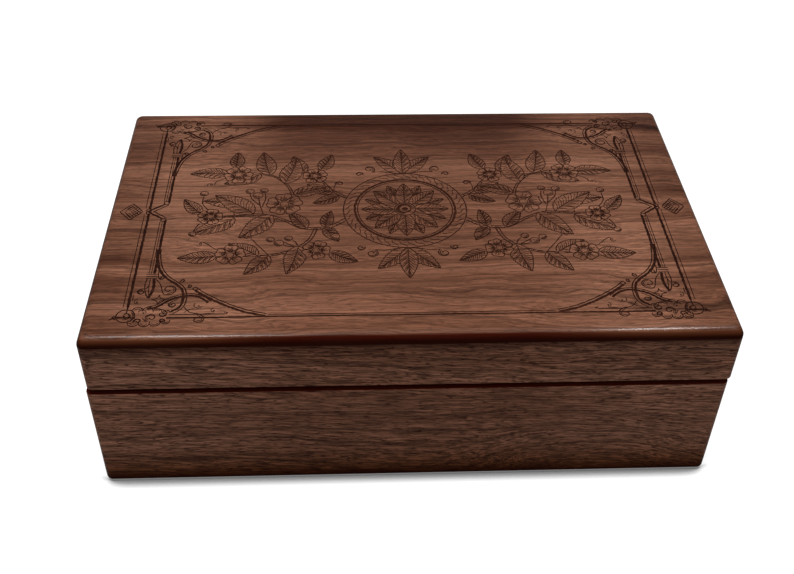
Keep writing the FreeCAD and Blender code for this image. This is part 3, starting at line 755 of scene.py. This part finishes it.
def draw_border(pen):
    """The border: ruled sides, ornamented corners and knots at mid-side."""
    pen.mirrors = [(1, 1), (-1, 1), (1, -1), (-1, -1)]
    draw_corner(pen)
    for x, low, high, width in (
            (128.2, 2.6, 70.6, pen.fine), (126.1, 1.6, 71, pen.heavy), (119.9, 8, 47.6, pen.fine),
            (118.8, 8.6, 47.6, pen.fine * 0.8), (117.4, 7.4, 47.6, pen.heavy)):
        pen.rule((x, low), (x, high), width)
    pen.rule((0, 78), (66.4, 78), pen.heavy * 0.7)
    pen.rule((0, 76.6), (64, 76.6), pen.fine)
    # Knot at mid-side, with a hatched diamond
    pen.ring((118.4, 7), 1.3, pen.plain)
    pen.rule((118.9, 6.2), (126.4, 0.4), pen.heavy * 0.8)
    pen.rule((117.2, 5.4), (124.2, -0.4), pen.plain)
    pen.ring((126.4, 0.9), 1.2, pen.plain)
    pen.rule((129.4, 0.2), (134.8, 6.6), pen.plain)
    pen.rule((134.8, 6.6), (140.4, 0.2), pen.plain)
    pen.rule((131.6, 0.2), (134.8, 4.2), pen.fine)
    pen.rule((134.8, 4.2), (138.2, 0.2), pen.fine)
    for place in np.linspace(0.15, 0.85, 5):
        low = np.array((129.4, 0.2)) + place * np.array((5.4, 6.4))
        pen.rule(low, low + 0.62 * np.array((5.4, -6.2)) * (1 - 0.1 * place), pen.plain * 0.8)


def draw_medallion(pen):
    """The middle: a rosette in a corded ring, between sprays of leaves, flowers and berries."""
    pen.mirrors = [(1, 1)]
    # Rosette
    pen.dot((0, 0), 1.5)
    pen.ring((0, 0), 2.9, pen.fine)
    pen.hatch(arc((0, 0), 3.2, 0, 360), arc((0, 0), 4.6, 0, 360), pen.fine)
    pen.ring((0, 0), 5.2, pen.plain)
    pen.cover(arc((0, 0), 5.2, 0, 350))
    for petal in range(8):
        pen.leaf(4 * ray(45 * petal), 45 * petal, 17.6, 9.6, veins=5)
    for petal in range(8):
        pen.leaf(8 * ray(45 * petal + 22.5), 45 * petal + 22.5, 13.4, 7, veins=4)
    # Corded ring, in front of the sprays
    pen.ring((0, 0), 23.6, pen.plain)
    pen.ring((0, 0), 25, pen.heavy)
    for cord in range(44):
        start = 360 / 44 * cord
        pen.stroke(through([26 * ray(start), 27.6 * ray(start + 1.5), 28.6 * ray(start + 6),
                                30 * ray(start + 8)], 1.2), pen.plain * 0.8, swell=0.3)
    pen.ring((0, 0), 30.6, pen.plain)
    pen.cover(arc((0, 0), 30.6, 0, 355))
    # Palmettes above and below
    for side in (1, -1):
        pen.leaf((0, 31 * side), 90 * side, 22, 9.5, veins=6)
    pen.mirrors = [(1, 1), (-1, 1)]
    for side in (1, -1):
        pen.leaf((1, 31 * side), 57 * side, 20, 9.5, -0.16 * side, veins=6)
        pen.scroll((17.2, 34.8 * side), 3.2, 240 * side, -390 * side,
                   [(2, 30 * side), (10, 32.4 * side)])
        pen.scroll((22.4, 30.4 * side), 2.2, 200 * side, -360 * side)
    # Sprays: flowers and berries in front, then leaves, then branches
    for centre, size, turn in (
            ((60, 5), 9.2, 12), ((84.6, 31), 7.6, 50), ((84, -34.6), 7.4, 20), ((43.6, -31.6), 7, 40),
            ((45.2, 29.2), 6.6, 5), ((96, -4.8), 6.4, 30)):
        pen.blossom(centre, size, turn=turn)
    for row in (
            ((73.6, 12.6), 2.5, 120), ((77.8, 16.2), 2.1, 140), ((70.6, 16.8), 1.9, 110),
            ((61.4, -26.2), 2.3, 130), ((65.6, -23.4), 1.9, 120), ((57, -22.6), 1.9, 120),
            ((34.6, -21.6), 2.2, 120), ((100.6, 14.6), 2, 120), ((103.2, -18.4), 1.8, 120)):
        pen.berry(*row)
    for row in (
            ((66, -4), -58, 23, 12, 0.14), ((75, -2.6), 47, 25, 12.5, -0.16), ((84, -6), -42, 23, 11, 0.2),
            ((60.6, 23), 112, 23, 12, -0.14), ((68.4, 30.6), 72, 21, 11, 0.12),
            ((73, 31.4), -34, 20, 10, 0.16), ((90, 31.6), 12, 19, 9.5, -0.2), ((55.6, 13), 152, 17, 9, 0.16),
            ((48.8, -14.8), 64, 15, 8, -0.14), ((52, -28.6), -84, 21, 11, 0.14),
            ((66, -35.4), -62, 17, 9.5, 0.18), ((71, -35.6), 42, 17, 9, -0.16),
            ((90.2, -35), -14, 18, 9.5, 0.16), ((42.6, 34.6), 122, 15, 8.5, -0.16),
            ((33, 11.6), -34, 14, 7.5, 0.16), ((39.4, -14), 94, 13, 7, 0.14),
            ((50.4, 32.6), 60, 16, 8.5, 0.1), ((36, 14.4), 22, 15, 8, 0.14), ((40, -14.6), -128, 13, 7, 0.1),
            ((37.2, -33.4), -142, 15, 8.5, -0.16), ((100.6, -2), 44, 15, 8, 0.14),
            ((86.4, 37.4), 96, 14, 8, -0.1), ((84.6, 5), 20, 16, 8, -0.14)):
        pen.leaf(*row)
    pen.branch([(29.4, -8), (38, -14), (50, -14.6), (60, -8), (70, -3.6), (82, -4.4), (94, -5)], 1.9)
    pen.branch([(52, -14), (56.8, -4), (55.8, 9), (58.6, 20), (66, 29), (76, 31.6), (84, 31)], 1.6)
    pen.branch([(44, -15), (47, -24), (54, -31), (64, -35), (76, -35.6), (84, -34.6)], 1.6)
    pen.branch([(29, 10), (36, 16), (40.6, 23), (44, 29), (42, 36)], 1.5)
    for line in (
            [(70, -3.6), (72, 4), (73.4, 12)], [(72, 4), (76.6, 10), (77.6, 16)],
            [(71, 3), (69.6, 10), (70.4, 16.4)], [(52, -29.4), (58, -28.4), (61.4, -26.2)],
            [(54, -29), (60, -25), (65.6, -23.4)], [(52, -29), (54, -25), (57, -22.6)],
            [(38, -14), (35, -17), (34.6, -21.6)], [(97, 0), (100.6, 6), (100.6, 13)],
            [(96, -6), (101, -11), (103.2, -17)], [(84, -4.4), (85, 0), (84.6, 5)]):
        pen.stroke(through(line), pen.plain)
    for row in (
            ((98.6, 21.8), 2.3, 180, -400, [(86, 30), (92, 27.4), (95.6, 24.6)]),
            ((99.6, -26.4), 2.3, 120, 390, [(86, -34), (92, -29.6), (95.6, -26)]),
            ((77, -21.2), 2.2, 210, -380, [(66, -35), (70.4, -29), (73.4, -24.6)]),
            ((32.6, 22.2), 2.4, 330, 380, [(35, 15.4), (35.4, 18.6)])):
        pen.scroll(*row)


def rounded_outline(half_x, half_y, radius):
    """Points round a rectangle with rounded corners."""
    corners = []
    for sign_x, sign_y, start in ((1, 1, 0), (-1, 1, 90), (-1, -1, 180), (1, -1, 270)):
        centre = (sign_x * (half_x - radius), sign_y * (half_y - radius))
        angles = np.radians(start + np.linspace(0, 90, CORNER_POINTS))
        corners.append(np.array(centre) + radius * np.stack([np.cos(angles), np.sin(angles)], axis=1))
    return np.concatenate(corners)


def deselect_all():
    """Leave nothing selected, as hand work starts."""
    bpy.ops.object.select_all(action="DESELECT")


def select_only(piece):
    """Make one object the selected and active one."""
    deselect_all()
    piece.select_set(True)
    bpy.context.view_layer.objects.active = piece


def panel_rings(settings, low, high, seat, field):
    """The outlines of the lid panel from its flat top down to its raised underside, in metres."""
    half = (high - low) / 2
    rings = []
    for angle in np.radians(np.linspace(0, 90, EDGE_RINGS)):
        inset = settings.edge_round * (1 - math.sin(angle))
        drop = settings.edge_round * (1 - math.cos(angle))
        radius = settings.top_corner + (settings.foot_corner - settings.top_corner) * math.sin(angle)
        rings.append((half.x - inset, half.y - inset, radius, high.z - drop))
    ease = settings.field_ease
    rings.append((half.x, half.y, settings.foot_corner, seat))
    rings.append((field.x, field.y, ease, seat))
    rings.append((field.x, field.y, ease, low.z + ease))
    rings.append((field.x - ease, field.y - ease, ease, low.z))
    return [(rounded_outline(*ring[:3]), ring[3]) for ring in rings]


class BOX_OT_carve_lid(bpy.types.Operator):
    """Make the lid panel with its rounded edge and cut the engraving into it"""
    bl_idname = "walnut_box.carve_lid"
    bl_label = "Carve the lid panel"

    def execute(self, context):
        scene = context.scene
        low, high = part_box("lid_top_panel")
        middle = (low + high) / 2
        left_rail, front_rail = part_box("lid_left_rail"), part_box("lid_front_rail")
        field = Vector((middle.x - left_rail[1].x - FIELD_GAP, middle.y - front_rail[1].y - FIELD_GAP, 0))
        rings = panel_rings(scene.box_panel, low, high, front_rail[1].z, field)

        # The flat top, divided so that every line of the drawing is a face of its own
        pen = Drawing(scene.box_engraving)
        draw_border(pen)
        draw_medallion(pen)
        outlines = [rings[0][0] / MM] + pen.outlines
        points = [Vector(point) for outline in outlines for point in outline]
        faces, first = [], 0
        for outline in outlines:
            faces.append(list(range(first, first + len(outline))))
            first += len(outline)
        flat_points, _, flat_faces, _, _, sources = delaunay_2d_cdt(points, [], faces, 1, 1e-4, True)

        # The rounded edge and the raised underside, ring by ring
        centre = np.array([middle.x, middle.y])
        places = [(*(np.array(point) * MM + centre), high.z) for point in flat_points]
        for outline, height in rings:
            places += [(*(point + centre), height) for point in outline]
        count, start = len(rings[0][0]), len(flat_points)
        quads = []
        for ring in range(len(rings) - 1):
            upper = start + ring * count
            for point in range(count):
                after = (point + 1) % count
                quads.append((upper + after, upper + point, upper + count + point, upper + count + after))
        last = start + (len(rings) - 1) * count
        quads.append(tuple(reversed(range(last, last + count))))

        mesh = bpy.data.meshes.new("engraved_lid_panel")
        mesh.from_pydata(places, [], [tuple(face) for face in flat_faces] + quads)
        panel = bpy.data.objects.new("engraved_lid_panel", mesh)
        scene.collection.objects.link(panel)
        # The top's cut has painted shade towards the back
        cut = {"heart": (0.02, -0.34, -0.16), "lean": 0.01, "back_shade": (0.470, 0.508), "contrast": 0.92,
               "bold": 0.72, "streak": 0.55, "reach": 2.6, "wave": 5.5 * MM}
        # The edge below rim_from is stained, with painted shade at mid-side and painted light near the
        # corners
        stained = dict(cut, rim_from=high.z - 0.12 * MM)
        wood = scene.box_walnut
        burnt, rim, underside, shoulder = range(1, 5)
        for material in (
                walnut("panel_walnut", wood, **stained), burnt_wood(scene.box_engraving),
                walnut("panel_rim_walnut", wood, shine=0.005, **stained),
                walnut("panel_underside_walnut", wood, **cut),
                walnut("panel_shoulder_walnut", wood, shine=0.15, polish=0.9, relief=0.1, **stained)):
            mesh.materials.append(material)
        half_corner = CORNER_POINTS // 2
        front = range(2 * CORNER_POINTS + half_corner, 3 * CORNER_POINTS + half_corner)
        for ring in range(len(rings) - 1):
            for point in range(count):
                face = mesh.polygons[len(flat_faces) + ring * count + point]
                shining = ring < SHOULDER_RINGS and point in front
                face.material_index = underside if ring >= EDGE_RINGS else shoulder if shining else rim
        mesh.polygons[len(mesh.polygons) - 1].material_index = underside

        # Sink the lines and give them the burnt finish
        engraved = [any(source > 0 for source in found) for found in sources] + [False] * len(quads)
        select_only(panel)
        bpy.ops.object.mode_set(mode="EDIT")
        bpy.ops.mesh.select_mode(type="FACE")
        bpy.ops.mesh.select_all(action="DESELECT")
        bpy.ops.object.mode_set(mode="OBJECT")
        mesh.polygons.foreach_set("select", engraved)
        bpy.ops.object.mode_set(mode="EDIT")
        bpy.ops.mesh.extrude_region_move(
            TRANSFORM_OT_translate={"value": (0, 0, -scene.box_engraving.depth)})
        bpy.ops.mesh.select_more()
        panel.active_material_index = burnt
        bpy.ops.object.material_slot_assign()
        bpy.ops.mesh.select_all(action="SELECT")
        bpy.ops.mesh.remove_doubles(threshold=1e-6)
        bpy.ops.object.mode_set(mode="OBJECT")
        bpy.ops.object.shade_smooth_by_angle(angle=SHARPEST_SMOOTH)
        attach(panel, "lid")
        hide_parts("lid_top_panel")
        return {"FINISHED"}


class BOX_OT_finish_case(bpy.types.Operator):
    """Give the walls and rails their oiled walnut, with the grain along each piece"""
    bl_idname = "walnut_box.finish_case"
    bl_label = "Finish the walls and rails"

    def execute(self, context):
        wood = context.scene.box_walnut
        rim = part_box("base_front_wall")[1].z
        # The case gets painted shade at its foot and under the lid panel
        case = {"pore_depth": 0.68, "contrast": 1.6, "bold": 0.36, "streak": 0.25, "reach": 0.8,
                "shine": 0.006, "brow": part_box("lid_front_rail")[1].z}
        # The front and sides also get painted shade in the step under the lid
        stepped = dict(case, step=(rim - wood.step_height, rim))
        # The front boards get painted light, lighter at their ends
        finish(FRONT, walnut("front_walnut", wood, heart=(0.05, -0.16, -0.05), lean=0.05,
                             arch=(92 * MM, 85 * MM, 60 * MM, 13 * MM), ends=FRONT_LIGHT_TINTS, **stepped))
        finish(BACK, walnut("back_walnut", wood, heart=(-0.08, 0.17, -0.04), lean=-0.04, **case))
        finish(SIDES, walnut("side_walnut", wood, heart=(0.19, 0.02, -0.06), turn=math.pi / 2, lean=0.04,
                             **stepped))
        return {"FINISHED"}


class BOX_OT_finish_inside(bpy.types.Operator):
    """Give the bottom board and the dividers a paler, plainer timber"""
    bl_idname = "walnut_box.finish_inside"
    bl_label = "Finish the boards inside"

    def execute(self, context):
        wood = context.scene.box_walnut
        finish(LONG_BOARDS, walnut("board_walnut", wood, heart=(0, 0.3, -0.2), tint=wood.board_tint))
        finish(CROSS_BOARDS, walnut("divider_walnut", wood, heart=(0.3, 0, -0.2), turn=math.pi / 2,
                                    tint=wood.board_tint))
        return {"FINISHED"}


class BOX_OT_finish_hinges(bpy.types.Operator):
    """Give the hinges, pins and screws their drawn brass"""
    bl_idname = "walnut_box.finish_hinges"
    bl_label = "Finish the hinges"

    def execute(self, context):
        hinges = [name for name in frame["nodes"] if name.startswith("hinge_")]
        finish(hinges + SCREWS, drawn_brass(context.scene.box_brass))
        return {"FINISHED"}


def camera_matrix(stage):
    """Where the camera stands and how it is turned, as one matrix."""
    turn, tilt, roll = stage.camera_turn
    ahead = Vector((math.sin(turn) * math.cos(tilt), math.cos(turn) * math.cos(tilt), -math.sin(tilt)))
    level = Vector((math.cos(turn), -math.sin(turn), 0))
    upward = level.cross(ahead)
    right = math.cos(roll) * level + math.sin(roll) * upward
    up = math.cos(roll) * upward - math.sin(roll) * level
    matrix = Matrix((right, up, -ahead)).transposed().to_4x4()
    matrix.translation = Vector(stage.camera_place)
    return matrix


def seen_directly(tree):
    """One for rays that the camera sees, straight or through gloss or glass, and zero for light."""
    rays = add(tree, "ShaderNodeLightPath").outputs
    direct = larger(tree, rays["Is Camera Ray"], rays["Is Glossy Ray"])
    return larger(tree, direct, rays["Is Transmission Ray"])


class BOX_OT_set_stage(bpy.types.Operator):
    """Put down the pale floor, hang the lamps and stand the camera"""
    bl_idname = "walnut_box.set_stage"
    bl_label = "Set the stage"

    def execute(self, context):
        scene = context.scene
        stage = scene.box_stage
        deselect_all()
        bpy.ops.mesh.primitive_plane_add(size=FLOOR_SIZE)
        floor = context.object
        floor.name = "floor"
        material, tree, shader, coordinates = blank_material("floor_paper")
        shader.inputs["Base Color"].default_value = stage.floor_tone
        shader.inputs["Roughness"].default_value = 0.9
        shader.inputs["Specular IOR Level"].default_value = 0.1
        # The seen floor is lifted towards white, but not in the shadow right in front of the box
        contact = add(tree, "ShaderNodeAmbientOcclusion", {"Distance": stage.contact_width}).outputs["AO"]
        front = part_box("base_front_wall")[0].y
        depth = add(tree, "ShaderNodeSeparateXYZ", {"Vector": coordinates}).outputs["Y"]
        beside_box = between(tree, depth, front, front + 4 * MM, 0.0, 0.85)
        contact = larger(tree, between(tree, contact, 0.5, 0.9), beside_box)
        lift = times(tree, times(tree, seen_directly(tree), contact), stage.floor_glow)
        glow = add(tree, "ShaderNodeEmission", {"Strength": lift})
        both = add(tree, "ShaderNodeAddShader", {0: shader.outputs[0], 1: glow.outputs[0]})
        tree.links.new(both.outputs[0], tree.nodes["Material Output"].inputs["Surface"])
        floor.data.materials.append(material)

        world = bpy.data.worlds.new("studio")
        scene.world = world
        world.use_nodes = True
        sky = world.node_tree
        strength = add(sky, "ShaderNodeMix", {0: seen_directly(sky), 2: stage.sky, 3: 1.0}).outputs[0]
        background = sky.nodes["Background"]
        background.inputs["Color"].default_value = (1, 1, 1, 1)
        sky.links.new(strength, background.inputs["Strength"])

        for name, place, wide, deep, power in (
                ("left_lamp", (-0.26, -0.12, 0.95), 0.32, 0.08, stage.left_power),
                ("right_lamp", (0.385, -0.05, 0.95), 0.24, 0.08, stage.right_power),
                ("front_lamp", (0.0, -0.75, 0.85), 1.0, 0.6, stage.front_power),
                ("back_lamp", (0.0, 0.85, 0.4), 1.0, 0.5, stage.back_power)):
            bpy.ops.object.light_add(type="AREA", location=place)
            lamp = context.object
            lamp.name = name
            lamp.data.shape = "RECTANGLE"
            lamp.data.size = wide
            lamp.data.size_y = deep
            lamp.data.energy = power
            aim = LAMP_TARGET - Vector(place)
            lamp.rotation_euler = aim.to_track_quat("-Z", "Y").to_euler()

        bpy.ops.object.camera_add()
        camera = context.object
        camera.name = "camera"
        camera.matrix_world = camera_matrix(stage)
        camera.data.sensor_width = FILM_WIDTH
        camera.data.sensor_fit = "HORIZONTAL"
        camera.data.lens = stage.lens
        camera.data.clip_start = 10 * MM
        scene.camera = camera
        scene.view_settings.view_transform = "Standard"
        return {"FINISHED"}


class BOX_PT_sidebar(bpy.types.Panel):
    """The steps that finish the box, with their sizes and colours"""
    bl_idname = "BOX_PT_sidebar"
    bl_label = "Walnut box"
    bl_space_type = "VIEW_3D"
    bl_region_type = "UI"
    bl_category = "Walnut box"

    def draw(self, context):
        for operator, groups in STEPS:
            section = self.layout.box()
            section.operator(operator.bl_idname)
            for group in groups:
                settings = getattr(context.scene, group)
                for name in settings.__annotations__:
                    section.prop(settings, name)


GROUPS = {
    "box_walnut": WalnutSettings,
    "box_engraving": EngravingSettings,
    "box_panel": PanelSettings,
    "box_brass": BrassSettings,
    "box_stage": StageSettings,
}
STEPS = [
    (BOX_OT_carve_lid, ("box_panel", "box_engraving")),
    (BOX_OT_finish_case, ("box_walnut",)),
    (BOX_OT_finish_inside, ()),
    (BOX_OT_finish_hinges, ("box_brass",)),
    (BOX_OT_set_stage, ("box_stage",)),
]


def register():
    """Register the settings, the steps and the sidebar."""
    for name, group in GROUPS.items():
        bpy.utils.register_class(group)
        setattr(bpy.types.Scene, name, bpy.props.PointerProperty(type=group))
    for operator, _ in STEPS:
        bpy.utils.register_class(operator)
    bpy.utils.register_class(BOX_PT_sidebar)


def unregister():
    """Take everything that register added away again."""
    bpy.utils.unregister_class(BOX_PT_sidebar)
    for operator, _ in reversed(STEPS):
        bpy.utils.unregister_class(operator)
    for name, group in reversed(GROUPS.items()):
        delattr(bpy.types.Scene, name)
        bpy.utils.unregister_class(group)


def corners(box):
    """A box as plain lists of numbers."""
    return [[float(value) for value in corner] for corner in box]


def main():
    """Finish the whole box."""
    register()
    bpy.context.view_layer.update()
    bpy.ops.walnut_box.carve_lid()
    bpy.ops.walnut_box.finish_case()
    bpy.ops.walnut_box.finish_inside()
    bpy.ops.walnut_box.finish_hinges()
    bpy.ops.walnut_box.set_stage()


if __name__ == "__main__":
    main()
